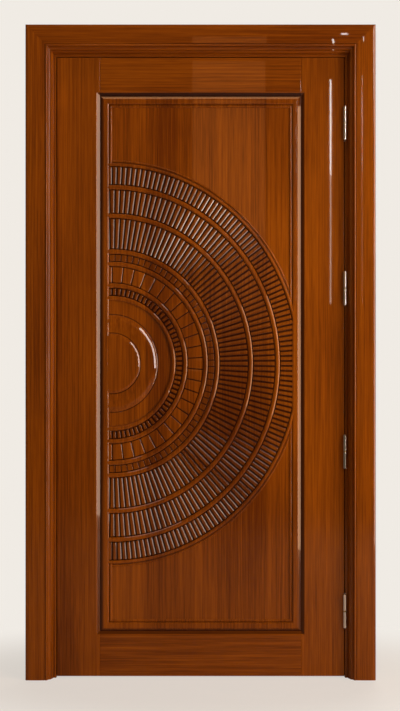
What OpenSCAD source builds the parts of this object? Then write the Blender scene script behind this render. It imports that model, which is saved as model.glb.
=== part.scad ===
// Carved panel door in a moulded frame: a leaf on four lift-off hinges, posts, head and mitred casing.
// Front faces -Y, +Z is up, the origin is on the floor in the middle of the frame's width and depth.

/* [Leaf] */
// Width of the leaf
leaf_w = 990; // [900:1:1100]
// Height of the leaf
leaf_h = 2132; // [2050:1:2300]
// Thickness of the leaf
leaf_t = 40; // [38:0.5:46]
// Gap between the leaf and the floor
floor_gap = 6; // [3:0.5:12]
// Gap between the leaf and the frame
edge_gap = 3; // [2.5:0.25:4]
// Width of each stile
stile_w = 148; // [130:1:165]
// Height of the top rail
top_rail_h = 130; // [110:1:150]
// Height of the bottom rail
bottom_rail_h = 154; // [120:1:200]
// Width of the splayed edge around the panel
splay_w = 12.5; // [8:0.5:15]
// Depth of the splayed edge around the panel
splay_d = 7; // [4:0.5:9]
// Width of the fine V line where a rail meets a stile
joint_v_w = 2.4; // [1.2:0.2:4]
// Chamfer along the leaf's outer edges
arris = 1.5; // [0.5:0.25:3]

/* [Joinery] */
// Length of the rails' tenons
tenon_l = 70; // [40:1:90]
// Shoulder above and below each tenon
tenon_shoulder = 25; // [15:1:35]
// Thickness of the tenons and of the panel's tongue
tongue_t = 14; // [10:0.5:16]
// Depth of the panel's tongue in its groove
tongue_l = 12; // [8:0.5:16]
// Play of a tenon or a tongue in its slot
joint_play = 0.2; // [0.1:0.05:0.5]
// Room left beyond the panel's tongue for the wood to move
swell_gap = 2; // [1:0.25:4]

/* [Panel] */
// Thickness of the panel
panel_t = 32; // [30:0.5:36]
// Width of the flat margin
margin_w = 14; // [10:0.5:18]
// Depth of the sunk field below the margin
field_d = 8; // [6:0.25:10]
// Width of the margin's sloping inner wall
wall_w = 4.5; // [2:0.25:6]
// Width of the bead beside the wall
bead_w = 10.5; // [5:0.5:12]
// Height of the bead
bead_h = 4; // [2:0.25:5]

/* [Carving] */
// Width of the carved half rounds as a share of a true circle
squash = 0.94; // [0.85:0.01:1]
// Radius of the boss's upper tier
boss_r = 104; // [90:1:120]
// Radius of the boss's lower tier
collar_r = 168; // [155:1:180]
// Radius of the boss's round shoulders as a multiple of their drop
shoulder_ratio = 4; // [3.5:0.25:5]
// Width of the plain cove around the boss
cove_w = 49; // [40:1:55]
// Height of the cove's floor above the field
cove_floor_h = 1; // [0.5:0.25:2]
// Width of the raised bands between the rings
band_w = 16; // [12:0.5:18]
// Depth of the bands' tops below the margin
band_drop = 0.3; // [0.2:0.1:1]
// Depth of the bars' tops below the margin
bar_drop = 2; // [1:0.25:3]
// Gap between the ends of the bars and the bands
bar_end_gap = 2; // [1:0.25:3]
// Width of the dentil ring
dentil_w = 28; // [22:1:32]
// Dentils in half a turn
dentil_n = 47; // [36:1:52]
// Width of the plank ring
plank_w = 58; // [45:1:65]
// Planks in half a turn
plank_n = 25; // [18:1:30]
// Width of the small block ring
block_w = 27; // [22:1:32]
// Blocks in half a turn
block_n = 52; // [40:1:60]
// Width of the inner ring of bars
inner_bar_w = 107; // [90:1:112]
// Bars in half a turn of the inner ring
inner_bar_n = 80; // [60:1:84]
// Width of the middle ring of bars
middle_bar_w = 83; // [70:1:88]
// Bars in half a turn of the middle ring
middle_bar_n = 96; // [75:1:104]
// Width of the outer ring of bars
outer_bar_w = 64; // [50:1:70]
// Bars in half a turn of the outer ring
outer_bar_n = 117; // [90:1:124]
// Width of the grooves between bars
bar_groove_w = 9.5; // [6:0.5:10]
// Width of the grooves between dentils
dentil_groove_w = 8; // [5:0.5:9]
// Width of the grooves between blocks
block_groove_w = 6; // [4:0.5:9]
// Width of the grooves between planks
plank_groove_w = 4; // [2:0.5:6]
// Width of the grooves' floors
groove_floor_w = 1; // [0.5:0.25:2]
// Height of the grooves' floors above the field
groove_floor_h = 1; // [0.5:0.25:2]
// Width of the rim band
rim_w = 12; // [8:0.5:16]
// Width of the rim's outer bead
rim_bead_w = 10; // [6:0.5:14]
// Height of the rim's outer bead
rim_bead_h = 3; // [1:0.25:4]

/* [Frame] */
// Width of a post beyond the rebate
jamb_w = 45; // [40:1:60]
// Depth of a post from the wall's face to its back
jamb_d = 115; // [108:1:150]
// Width of the stop behind the leaf
stop_w = 15; // [12:0.5:18]
// Play between the leaf's back and the stop
stop_gap = 1.5; // [1:0.25:3]
// Depth of the leaf's face behind the casing's face
leaf_recess = 40; // [39:0.5:44]
// Width of the fillet and quirk beside the leaf
fillet_w = 9.5; // [8:0.25:11]
// Radius of the round edge beside the fillet
ovolo_r = 17; // [15:0.5:18]
// Radius of the quirk in the fillet
quirk_r = 2; // [1:0.25:2.5]
// Width of the post's moulded edge that the casing leaves bare
reveal = 16; // [15.5:0.25:18]
// Lip of the post in front of the casing's inner edge
casing_set_back = 1; // [0.5:0.25:2]

/* [Casing] */
// Width of the casing
casing_w = 85; // [75:1:100]
// Thickness of the casing
casing_t = 20; // [18:0.5:22]
// Radius of the round nose along the inner edge
nose_r = 4.5; // [3.5:0.25:5]
// Radius of the cove inside the nose
cove_r = 10; // [8:0.25:11]
// Overlap of the nose and the cove, and width of the quirk outside the nose
nose_lap = 0.8; // [0.4:0.1:1.2]
// Rise of the casing's gently rounded face
crown = 1.2; // [0.6:0.1:2]
// Radius of the casing's outer edge
edge_r = 5; // [2:0.5:8]

/* [Hinges] */
// Height of the lowest hinge's middle above the leaf's foot
hinge_foot = 225; // [180:1:260]
// Depth of the highest hinge's middle below the leaf's top
hinge_head = 228; // [180:1:260]
// Spacing of the two lower hinges
hinge_low_gap = 549; // [500:1:600]
// Spacing of the two upper hinges
hinge_high_gap = 568; // [500:1:600]
// Length of a hinge
hinge_l = 120; // [100:1:140]
// Width of a hinge plate in the wood
plate_w = 30; // [26:0.5:32]
// Thickness of a hinge plate
plate_t = 2.5; // [2:0.25:3]
// Radius of the hinge barrel
barrel_r = 7; // [6:0.25:8]
// Metal between a knuckle's bore and its dome
knuckle_cap = 2.5; // [1.5:0.25:4]
// Radius of the hinge pin
pin_r = 4; // [3:0.25:4.5]
// Radial play of the upper knuckle on the pin
pin_play = 0.05; // [0.02:0.01:0.1]
// Play beyond the pin's end in the upper knuckle
pin_end_play = 1; // [0.5:0.25:2]
// Gap between the barrel and the leaf's face
barrel_gap = 0.5; // [0.4:0.1:1]
// Thickness of the washer between the knuckles
washer_t = 2; // [1:0.25:3]
// Radius of the washer
washer_r = 6.4; // [5.5:0.1:6.8]
// Play above the washer
washer_play = 0.1; // [0.05:0.05:0.3]

/* [Screws] */
// Radius of a hinge screw's shank
screw_r = 2.2; // [1.5:0.1:2.5]
// Radius of a hinge screw's head
screw_head_r = 4.2; // [3.5:0.1:4.5]
// Length of a hinge screw
screw_l = 38; // [25:1:40]
// Metal between a screw's head and the plate's edge
screw_margin = 2; // [1:0.25:2.5]
// Stagger of the two rows of hinge screws
screw_stagger = 16.8; // [10:0.1:20]
// Play of a screw in its hole
screw_play = 0.1; // [0.05:0.05:0.3]
// Radius of a wall fixing hole
fixing_r = 4.2; // [3:0.1:5.5]
// Radius of the sunk seat of a wall fixing
fixing_head_r = 8; // [6:0.25:9]
// Depth of the sunk seat of a wall fixing
fixing_head_d = 8; // [4:0.5:15]
// Height of the lowest wall fixing
fixing_z = 500; // [450:1:560]
// Spacing of the wall fixings
fixing_gap = 560; // [500:1:570]
// Length of a corner screw
corner_screw_l = 110; // [90:1:130]
// Radius of a corner screw's shank
corner_screw_r = 3; // [2.5:0.1:4]
// Radius of a corner screw's head
corner_head_r = 6; // [5:0.25:7]
// Height of a corner screw's head
corner_head_h = 6; // [4:0.5:8]
// Depth of a corner screw's head below the top of the frame
corner_sink = 6; // [2:0.5:8]
// Spacing of the two screws at a corner
corner_gap = 50; // [40:1:56]

/* [Hidden] */
$fn = 64;
over = 1;
far = 3000;
wood = "#6b2a08";
wood_dark = "#5a2306";
steel = "#c9c9c6";
brass = "#b9974f";

// Depths along Y, from the casing's face to the back of the posts
depth = casing_t + jamb_d;
front_y = -depth / 2;
wall_y = front_y + casing_t;
leaf_y0 = front_y + leaf_recess;
leaf_y1 = leaf_y0 + leaf_t;
back_y = front_y + depth;
slot_y = leaf_y0 + leaf_t / 2;

// Widths along X and heights along Z
leaf_x = leaf_w / 2;
rebate_x = leaf_x + edge_gap;
leaf_z0 = floor_gap;
leaf_z1 = leaf_z0 + leaf_h;
rebate_z = leaf_z1 + edge_gap;
toe_x = rebate_x + reveal;
toe_z = rebate_z + reveal;
frame_top = rebate_z + jamb_w;

// Panel opening at the bottom of the V border
open_x = leaf_x - stile_w;
open_z0 = leaf_z0 + bottom_rail_h;
open_z1 = leaf_z1 - top_rail_h;
open_mid = (open_z0 + open_z1) / 2;

// Insets of the panel's levels from the opening
margin_in = splay_w + margin_w;
wall_in = margin_in + wall_w;
field_in = wall_in + bead_w;
field_y = leaf_y0 + field_d;

// Hinge places
pivot_x = leaf_x + edge_gap / 2;
pivot_y = leaf_y0 - barrel_r - barrel_gap;
hinge_zs = [
  leaf_z0 + hinge_foot,
  leaf_z0 + hinge_foot + hinge_low_gap,
  leaf_z1 - hinge_head - hinge_high_gap,
  leaf_z1 - hinge_head
];
hinge_count = len(hinge_zs);
plate_y0 = leaf_y0 + barrel_gap;
plate_y1 = leaf_y0 + plate_w;
knuckle_l = (hinge_l - washer_t - washer_play) / 2;
dome_h = barrel_r / 2;
bore_d = knuckle_l - dome_h - knuckle_cap;
screw_edge = screw_head_r + screw_margin;
fixing_y = (leaf_y0 + leaf_y1) / 2;
fixing_zs = [for (i = [0:2]) fixing_z + i * fixing_gap];
corner_y = (wall_y + back_y) / 2;
corner_x = rebate_x + jamb_w / 2;

// Rings of the carving from the boss outwards: width, pieces in half a turn, groove width
rings = [
  [dentil_w, dentil_n, dentil_groove_w],
  [plank_w, plank_n, plank_groove_w],
  [block_w, block_n, block_groove_w],
  [inner_bar_w, inner_bar_n, bar_groove_w],
  [middle_bar_w, middle_bar_n, bar_groove_w],
  [outer_bar_w, outer_bar_n, bar_groove_w]
];
first_band_r = collar_r + cove_w;
function band_r0(i) = i == 0 ? first_band_r : band_r0(i - 1) + band_w + rings[i - 1][0];
rim_r = band_r0(len(rings));
carving_r = rim_r + rim_w + rim_bead_w;
band_h = field_d - band_drop;
bar_h = field_d - bar_drop;
sweep = 200;
facets = 64;
rim_tuck = rim_w / 4;

hinge_pieces = ["frame_leaf", "pin", "washer", "door_leaf"];
function hinge_node(i, piece) = str("hinge_", i + 1, "_", piece);

// Section of a post: width from the rebate wall outwards, depth from the casing's face
module jamb_section() {
  lip_u = reveal - casing_set_back;
  stop_v = leaf_recess + leaf_t + stop_gap;
  quirk_off = 0.75 * quirk_r;
  difference() {
    union() {
      polygon([
        [arris, leaf_recess], [fillet_w, leaf_recess], [fillet_w, casing_t + ovolo_r],
        [lip_u, casing_t + ovolo_r], [lip_u, casing_t], [jamb_w, casing_t], [jamb_w, depth],
        [arris - stop_w, depth], [-stop_w, depth - arris], [-stop_w, stop_v + arris],
        [arris - stop_w, stop_v], [0, stop_v], [0, leaf_recess + arris]
      ]);
      translate([fillet_w + ovolo_r, casing_t + ovolo_r]) circle(ovolo_r);
    }
    translate([fillet_w - quirk_off, leaf_recess]) circle(quirk_r);
  }
}

// Section of the casing: width from its inner edge outwards, depth from its face
module casing_section() {
  nose_s = cove_r + nose_r - nose_lap;
  face_s = nose_s + nose_r + nose_lap;
  face_mid = (face_s + casing_w) / 2;
  half_face = casing_w - face_mid;
  crown_r = (half_face * half_face + crown * crown) / (2 * crown);
  round_s = casing_w - edge_r;
  round_v = edge_r + crown_r - sqrt(crown_r * crown_r - (round_s - face_mid) * (round_s - face_mid));
  difference() {
    union() {
      intersection() {
        translate([face_mid, crown_r]) circle(crown_r, $fn = 360);
        union() {
          polygon([
            [0, casing_t], [0, nose_r], [face_s, nose_r], [face_s, -over], [round_s, -over],
            [round_s, round_v], [casing_w, round_v], [casing_w, casing_t]
          ]);
          translate([round_s, round_v]) circle(edge_r);
        }
      }
      translate([nose_s, nose_r]) circle(nose_r);
    }
    translate([0, nose_r]) circle(cove_r);
  }
}

// Half space beyond the mitre through the corner at x and z, above it or below it
module mitre_side(x, z, above) {
  translate([x, 0, z]) rotate([0, -45, 0])
    translate([-far, -far / 2, above ? 0 : -far]) cube([2 * far, far, far]);
}

// Upright member on the +X side, from the floor to its mitre
module upright(x, z, width) {
  difference() {
    translate([x, front_y, 0]) linear_extrude(z + width + over) children();
    mitre_side(x, z, true);
  }
}

// Level member between two mitres
module level_member(x, z, width) {
  difference() {
    translate([0, front_y, z]) rotate([0, -90, 0])
      linear_extrude(2 * (x + width + over), center = true) children();
    mitre_side(x, z, false);
    mirror([1, 0, 0]) mitre_side(x, z, false);
  }
}

// Round rod along +X from a point
module rod_x(r, length) {
  rotate([0, 90, 0]) cylinder(r = r, h = length);
}

module wall_fixings() {
  for (z = fixing_zs) translate([rebate_x, fixing_y, z]) {
    translate([-over, 0, 0]) rod_x(fixing_r, jamb_w + 2 * over);
    translate([-over, 0, 0]) rod_x(fixing_head_r, fixing_head_d + over);
  }
}

// Upright corner screws through the head's mitre into the post on the +X side
module corner_screw_set(play, head_h) {
  for (side = [-1, 1]) translate([corner_x, corner_y + side * corner_gap / 2, frame_top]) {
    translate([0, 0, -corner_screw_l]) cylinder(r = corner_screw_r + play, h = corner_screw_l - corner_sink);
    translate([0, 0, -corner_sink - corner_head_h]) cylinder(r = corner_head_r + play, h = head_h);
  }
}

module corner_screw_holes() {
  corner_screw_set(screw_play, corner_sink + corner_head_h + over);
}

module post() {
  difference() {
    upright(rebate_x, rebate_z, jamb_w) jamb_section();
    wall_fixings();
    corner_screw_holes();
  }
}

module hinge_jamb() {
  color(wood) difference() {
    post();
    for (z = hinge_zs) translate([0, 0, z]) {
      translate([rebate_x - over, plate_y0 - barrel_r, -hinge_l / 2])
        cube([plate_t + over, plate_y1 - plate_y0 + barrel_r, hinge_l]);
      screw_places() translate([rebate_x, 0, 0]) rod_x(screw_r + screw_play, screw_l + over);
    }
  }
}

module closing_jamb() {
  color(wood) mirror([1, 0, 0]) post();
}

module frame_head() {
  color(wood_dark) difference() {
    level_member(rebate_x, rebate_z, jamb_w) jamb_section();
    corner_screw_holes();
    mirror([1, 0, 0]) corner_screw_holes();
  }
}

module hinge_side_casing() {
  color(wood) upright(toe_x, toe_z, casing_w) casing_section();
}

module closing_side_casing() {
  color(wood) mirror([1, 0, 0]) upright(toe_x, toe_z, casing_w) casing_section();
}

module head_casing() {
  color(wood) level_member(toe_x, toe_z, casing_w) casing_section();
}

module frame_corner_screws() {
  color(steel) for (side = [0, 1]) mirror([side, 0, 0]) corner_screw_set(0, corner_head_h);
}

// Block filling the panel opening, with an inset from the opening's edge at each depth given
module opening_block(levels) {
  last = len(levels) - 1;
  intersection() {
    linear_extrude(far) polygon(concat(
      [for (l = levels) [open_x - l[0], l[1]]],
      [for (i = [last:-1:0]) [levels[i][0] - open_x, levels[i][1]]]
    ));
    rotate([0, -90, 0]) linear_extrude(2 * far, center = true) polygon(concat(
      [for (l = levels) [open_z1 - l[0], l[1]]],
      [for (i = [last:-1:0]) [open_z0 + levels[i][0], levels[i][1]]]
    ));
  }
}

// Space inside the stiles and rails: splayed edges front and back, and the groove for the panel's tongue
module panel_space() {
  room = tongue_l + swell_gap;
  half_slot = tongue_t / 2 + joint_play;
  opening_block([
    [-2 * splay_w, leaf_y0 - splay_d], [0, leaf_y0 + splay_d], [0, slot_y - half_slot],
    [-room, slot_y - half_slot], [-room, slot_y + half_slot], [0, slot_y + half_slot],
    [0, leaf_y1 - splay_d], [-2 * splay_w, leaf_y1 + splay_d]
  ]);
}

// Fine V line on the face where the rails meet a stile
module joint_lines() {
  for (side = [-1, 1]) translate([side * open_x, 0, 0]) linear_extrude(far)
    for (y = [leaf_y0, leaf_y1]) translate([0, y]) rotate(45) square(joint_v_w / sqrt(2), center = true);
}

// Tenon of a rail on both ends, or its slot when play is given
module tenons(z0, z1, play) {
  translate([-open_x - tenon_l - play, slot_y - tongue_t / 2 - play, z0 - play])
    cube([2 * (open_x + tenon_l + play), tongue_t + 2 * play, z1 - z0 + 2 * play]);
}

module top_tenons(play) {
  tenons(open_z1 + tongue_l + swell_gap + over, leaf_z1 - tenon_shoulder, play);
}

module bottom_tenons(play) {
  tenons(leaf_z0 + tenon_shoulder, open_z0 - tongue_l - swell_gap - over, play);
}

// Stile on the +X side
module stile() {
  difference() {
    translate([0, 0, leaf_z0]) linear_extrude(leaf_h) polygon([
      [open_x, leaf_y0], [leaf_x - arris, leaf_y0], [leaf_x, leaf_y0 + arris], [leaf_x, leaf_y1 - arris],
      [leaf_x - arris, leaf_y1], [open_x, leaf_y1]
    ]);
    panel_space();
    joint_lines();
    top_tenons(joint_play);
    bottom_tenons(joint_play);
  }
}

module hinge_stile() {
  color(wood) difference() {
    stile();
    for (z = hinge_zs) translate([0, 0, z]) {
      translate([leaf_x - plate_t, plate_y0 - barrel_r, -hinge_l / 2])
        cube([plate_t + over, plate_y1 - plate_y0 + barrel_r, hinge_l]);
      screw_places() mirror([1, 0, 0]) translate([-leaf_x, 0, 0]) rod_x(screw_r + screw_play, screw_l + over);
    }
  }
}

module closing_stile() {
  color(wood) mirror([1, 0, 0]) stile();
}

// Rail between the stiles: its body runs from z0 to z1
module rail(z0, z1) {
  difference() {
    union() {
      translate([-open_x, leaf_y0, z0]) cube([2 * open_x, leaf_t, z1 - z0]);
      children();
    }
    panel_space();
    joint_lines();
  }
}

module top_rail() {
  color(wood_dark) rail(open_z1, leaf_z1) top_tenons(0);
}

module bottom_rail() {
  color(wood_dark) rail(leaf_z0, open_z0) bottom_tenons(0);
}

// Points along a squashed half round
function half_round(r, a0, a1) =
  [for (i = [0:facets]) let (a = a0 + (a1 - a0) * i / facets) [squash * r * cos(a), r * sin(a)]];

// Flat squashed half ring between two radii, up to a height above the field
module half_ring(r0, r1, h) {
  translate([0, 0, -over]) linear_extrude(h + over)
    polygon(concat(half_round(r0, -sweep / 2, sweep / 2), half_round(r1, sweep / 2, -sweep / 2)));
}

// Boss of two tiers with round shoulders, both crests level with the bands, in a plain cove
module boss_section() {
  tier_drop = band_h / 2;
  upper_r = shoulder_ratio * tier_drop;
  lower_r = shoulder_ratio * band_h;
  upper_run = sqrt(upper_r * upper_r - pow(upper_r - tier_drop, 2));
  lower_run = sqrt(lower_r * lower_r - pow(lower_r - band_h + cove_floor_h, 2));
  upper_top = boss_r - upper_run;
  lower_top = collar_r - lower_run;
  translate([0, -over]) square([first_band_r - bar_end_gap, cove_floor_h + over]);
  translate([0, -over]) square([upper_top, band_h + over]);
  intersection() {
    translate([upper_top, band_h - upper_r]) circle(upper_r);
    translate([upper_top, -over]) square([upper_run, band_h + over]);
  }
  polygon([[0, -over], [0, tier_drop], [boss_r, tier_drop], [lower_top, band_h], [lower_top, -over]]);
  intersection() {
    translate([lower_top, band_h - lower_r]) circle(lower_r);
    translate([lower_top, -over]) square([lower_run, band_h + over]);
  }
}

// Boss turned on a squashed circle
module boss() {
  scale([squash, 1, 1]) rotate_extrude($fn = 48) boss_section();
}

// Radial grooves with sloping sides that part a ring into bars
module ring_grooves(i) {
  r0 = band_r0(i) + band_w + bar_end_gap;
  r1 = band_r0(i + 1) - bar_end_gap;
  mid_r = (r0 + r1) / 2;
  step = 180 / rings[i][1];
  last = floor(90 / step - 1);
  top_w = rings[i][2];
  flare = (top_w - groove_floor_w) / (bar_h - groove_floor_h);
  open_w = top_w + flare * over;
  for (k = [-last - 1:last]) let (a = (k + 0.5) * step)
    translate([squash * mid_r * cos(a), mid_r * sin(a), 0])
      rotate([90, 0, atan2(sin(a), squash * cos(a)) + 90])
        linear_extrude((r1 - r0) * norm([squash * cos(a), sin(a)]), center = true) polygon([
          [-groove_floor_w / 2, groove_floor_h], [groove_floor_w / 2, groove_floor_h],
          [open_w / 2, bar_h + over], [-open_w / 2, bar_h + over]
        ]);
}

// Sets the carving's own plane on the field, with its middle on the field's closing edge
module on_field() {
  translate([field_in - open_x, field_y, open_mid]) rotate([90, 0, 0]) children();
}

module sunburst() {
  intersection() {
    on_field() {
      boss();
      difference() {
        half_ring(first_band_r + band_w / 2, rim_r + 2 * rim_tuck, bar_h);
        for (i = [0:len(rings) - 1]) ring_grooves(i);
      }
      for (i = [0:len(rings) - 1]) half_ring(band_r0(i), band_r0(i) + band_w, band_h);
      half_ring(rim_r, rim_r + rim_w, band_h);
      half_ring(rim_r + 3 * rim_tuck, carving_r, rim_bead_h);
    }
    opening_block([[margin_in, leaf_y0], [margin_in, field_y + over]]);
  }
}

// Bead that runs round the field and stops at the carving's rim
module field_bead() {
  crest_w = bead_w / 4;
  crest_in = wall_in + (bead_w - crest_w) / 2;
  difference() {
    opening_block([[crest_in, field_y - bead_h], [wall_in, field_y], [wall_in, field_y + over]]);
    opening_block([[crest_in + crest_w, field_y - bead_h - over], [crest_in + crest_w, field_y - bead_h],
      [field_in, field_y], [field_in, field_y + 2 * over]]);
    on_field() half_ring(first_band_r, rim_r + rim_tuck, field_d);
  }
}

module carved_panel() {
  color(wood) union() {
    difference() {
      union() {
        opening_block([[splay_w, leaf_y0], [joint_play, leaf_y0 + splay_d], [joint_play, leaf_y0 + panel_t]]);
        opening_block([[-tongue_l, slot_y - tongue_t / 2], [-tongue_l, slot_y + tongue_t / 2]]);
      }
      opening_block([[margin_in, leaf_y0 - over], [margin_in, leaf_y0], [wall_in, field_y]]);
    }
    field_bead();
    sunburst();
  }
}

// Four staggered screw places on a hinge plate, measured from the hinge's middle
module screw_places() {
  rows = [plate_y0 + screw_edge, plate_y1 - screw_edge];
  for (end = [-1, 1], row = [0, 1])
    translate([0, rows[row], end * (hinge_l / 2 - screw_edge - (1 - row) * screw_stagger)]) children();
}

// Countersunk screw along +X with its head flush at the origin
module hinge_screw(play) {
  rod_x(screw_r + play, screw_l);
  rotate([0, 90, 0]) cylinder(r1 = screw_head_r + play, r2 = screw_r + play, h = screw_head_r - screw_r);
}

// Plate on the rebate's side of the gap, its outer face at the rebate wall
module hinge_plate() {
  difference() {
    translate([0, plate_y0, -hinge_l / 2]) cube([plate_t, plate_y1 - plate_y0, hinge_l]);
    screw_places() hinge_screw(screw_play);
  }
}

// Strip that ties the plate to its knuckle between two heights
module plate_neck(z0, z1) {
  translate([0, pivot_y, z0]) cube([plate_t, plate_y0 - pivot_y + over, z1 - z0]);
}

// Upper half of a hinge, seen from its own pivot; the lower half is its mirror image
module hinge_half(play) {
  difference() {
    union() {
      translate([rebate_x, 0, 0]) hinge_plate();
      translate([rebate_x, 0, 0]) plate_neck(hinge_l / 2 - knuckle_l, hinge_l / 2 - dome_h);
      translate([pivot_x, pivot_y, hinge_l / 2 - knuckle_l]) cylinder(r = barrel_r, h = knuckle_l - dome_h);
      translate([pivot_x, pivot_y, hinge_l / 2 - dome_h]) knuckle_dome();
    }
    translate([pivot_x, pivot_y, hinge_l / 2 - knuckle_l - over])
      cylinder(r = pin_r + play, h = bore_d + over);
  }
}

// Low dome that closes a knuckle
module knuckle_dome() {
  dome_r = (barrel_r * barrel_r + dome_h * dome_h) / (2 * dome_h);
  intersection() {
    translate([0, 0, dome_h - dome_r]) sphere(dome_r);
    cylinder(r = barrel_r, h = dome_h);
  }
}

module hinge_door_leaf(i) {
  color(steel) translate([2 * pivot_x, 0, hinge_zs[i]]) mirror([1, 0, 0]) hinge_half(pin_play);
}

module hinge_frame_leaf(i) {
  color(steel) translate([0, 0, hinge_zs[i]]) mirror([0, 0, 1]) hinge_half(screw_play);
}

module hinge_pin(i) {
  color(steel) translate([pivot_x, pivot_y, hinge_zs[i] - hinge_l / 2 + knuckle_l - bore_d])
    cylinder(r = pin_r, h = 2 * bore_d + washer_t + washer_play - pin_end_play);
}

module hinge_washer(i) {
  color(brass) translate([pivot_x, pivot_y, hinge_zs[i] - hinge_l / 2 + knuckle_l]) difference() {
    cylinder(r = washer_r, h = washer_t);
    translate([0, 0, -over]) cylinder(r = pin_r + screw_play, h = washer_t + 2 * over);
  }
}

module frame_hinge_screws() {
  color(steel) for (z = hinge_zs) translate([rebate_x, 0, z]) screw_places() hinge_screw(0);
}

module door_hinge_screws() {
  color(steel) for (z = hinge_zs) translate([leaf_x, 0, z]) mirror([1, 0, 0]) screw_places() hinge_screw(0);
}

hinge_jamb();
closing_jamb();
frame_head();
hinge_side_casing();
closing_side_casing();
head_casing();
hinge_stile();
closing_stile();
top_rail();
bottom_rail();
carved_panel();
frame_corner_screws();
frame_hinge_screws();
door_hinge_screws();
for (i = [0:hinge_count - 1]) {
  hinge_frame_leaf(i);
  hinge_pin(i);
  hinge_washer(i);
  hinge_door_leaf(i);
}
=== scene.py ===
"""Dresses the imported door: lacquered wood, the carved panel, bright hinges, studio light and camera."""

import logging
import math
from collections.abc import Sequence
from dataclasses import dataclass
from enum import Enum

import bpy
import numpy as np
from mathutils import Matrix


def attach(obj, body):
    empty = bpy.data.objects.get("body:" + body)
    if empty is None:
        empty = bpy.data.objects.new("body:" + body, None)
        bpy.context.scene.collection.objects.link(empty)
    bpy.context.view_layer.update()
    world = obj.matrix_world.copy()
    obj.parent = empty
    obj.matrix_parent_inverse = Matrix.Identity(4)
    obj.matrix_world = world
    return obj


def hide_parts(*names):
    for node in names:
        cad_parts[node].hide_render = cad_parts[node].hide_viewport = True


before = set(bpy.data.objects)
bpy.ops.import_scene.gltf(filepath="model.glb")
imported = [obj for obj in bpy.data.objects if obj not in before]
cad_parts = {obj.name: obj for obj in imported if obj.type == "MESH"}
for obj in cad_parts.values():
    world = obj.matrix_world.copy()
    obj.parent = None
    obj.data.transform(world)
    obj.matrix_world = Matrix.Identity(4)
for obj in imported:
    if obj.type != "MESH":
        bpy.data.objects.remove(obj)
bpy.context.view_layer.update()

LOG = logging.getLogger("door")
MM = 0.001
Array = np.ndarray
Colour = tuple[float, float, float]
Point = tuple[float, float, float]
Line = tuple[tuple[float, float], ...]

# Readings that are averaged where a corner is rounded.
SAMPLES = 7
# Largest share of a side that a rounded corner takes.
CORNER_SHARE = 0.45
# Direction towards the viewer.
FRONT = (0.0, -1.0, 0.0)


class Grain(Enum):
    """Direction in which the wood's fibres run."""

    UPRIGHT = "upright"
    LEVEL = "level"


class Side(Enum):
    """Side of the frame, as the sign of its X."""

    HINGE = 1
    CLOSING = -1


def linear(red: int, green: int, blue: int) -> Colour:
    """Turns a screen colour into a linear one.

    Args:
        red: Red from 0 to 255.
        green: Green from 0 to 255.
        blue: Blue from 0 to 255.

    Returns:
        The three linear channels.
    """
    shares = np.array([red, green, blue]) / 255.0
    low, high = shares / 12.92, ((shares + 0.055) / 1.055) ** 2.4
    return tuple(float(c) for c in np.where(shares <= 0.04045, low, high))


def arc(centre: Sequence[float], radius: float, start: float, end: float, steps: int) -> Array:
    """Points along an arc.

    Args:
        centre: Middle of the circle.
        radius: Radius of the circle.
        start: First angle in degrees.
        end: Last angle in degrees.
        steps: Number of points.

    Returns:
        The points, one per row.
    """
    angles = np.radians(np.linspace(start, end, steps))
    return np.column_stack([centre[0] + radius * np.cos(angles), centre[1] + radius * np.sin(angles)])


def eased(points: Array, radius: float, closed: bool = True, steps: int = 4, sharp: float = 25.0) -> Array:
    """Rounds the sharp corners of a line with short curves.

    Args:
        points: Corners of the line, one per row.
        radius: Length taken from each side of a corner.
        closed: Whether the line returns to its start.
        steps: Points on each rounded corner.
        sharp: Turns below this angle in degrees stay as they are.

    Returns:
        The points of the rounded line.
    """
    count = len(points)
    made = []
    for i, here in enumerate(points):
        before, after = points[i - 1], points[(i + 1) % count]
        if not closed and i in (0, count - 1):
            made.append(here[None])
            continue
        into, out = here - before, after - here
        in_length, out_length = np.linalg.norm(into), np.linalg.norm(out)
        turn = np.degrees(np.arccos(np.clip(into @ out / (in_length * out_length), -1, 1)))
        if turn < sharp:
            made.append(here[None])
            continue
        first = here - into * min(radius / in_length, CORNER_SHARE)
        last = here + out * min(radius / out_length, CORNER_SHARE)
        t = np.linspace(0, 1, steps)[:, None]
        made.append((1 - t) ** 2 * first + 2 * t * (1 - t) * here + t ** 2 * last)
    return np.concatenate(made)


def softened(values: Array, low: float, high: float, blur: float) -> Array:
    """A ramp from 0 at low to 1 at high whose two corners are rounded.

    Args:
        values: Where the ramp is read.
        low: Value at which the ramp starts.
        high: Value at which the ramp ends.
        blur: Half the width over which each corner is rounded.

    Returns:
        The ramp's height at each value.
    """
    shifts = np.linspace(-blur, blur, SAMPLES)
    return np.mean([np.clip((values + s - low) / (high - low), 0, 1) for s in shifts], axis=0)


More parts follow.
